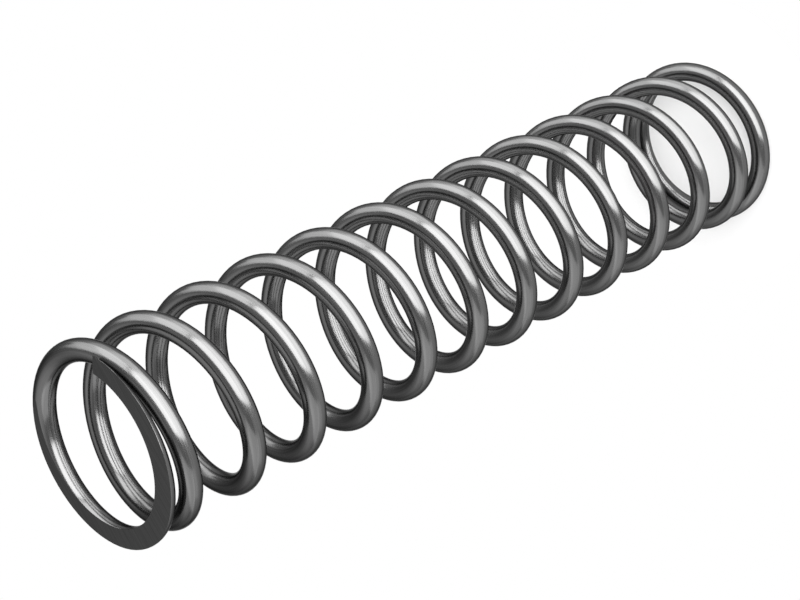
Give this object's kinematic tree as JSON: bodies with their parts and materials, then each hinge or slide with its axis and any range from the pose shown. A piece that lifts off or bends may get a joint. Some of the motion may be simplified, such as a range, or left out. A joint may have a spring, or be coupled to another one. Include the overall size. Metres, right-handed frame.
{
  "type": "compression spring",
  "caption": "Right-hand helical compression spring of round steel wire, with closed ends ground flat so that it stands square on either end.",
  "frame": {"origin": "centre of the lower ground face, on the spring's axis", "axes": "+Z along the spring's axis, from the lower ground face to the upper one; +X from the axis towards the lower wire tip"},
  "size_m": [0.023, 0.023, 0.1065],
  "materials": {
    "spring_wire": "cold-drawn spring steel wire, dark grey with fine lengthwise drawing lines, satin; ends ground flat and matte"
  },
  "bodies": {
    "root": {"coiled_wire": "spring_wire"}
  },
  "joints": []
}
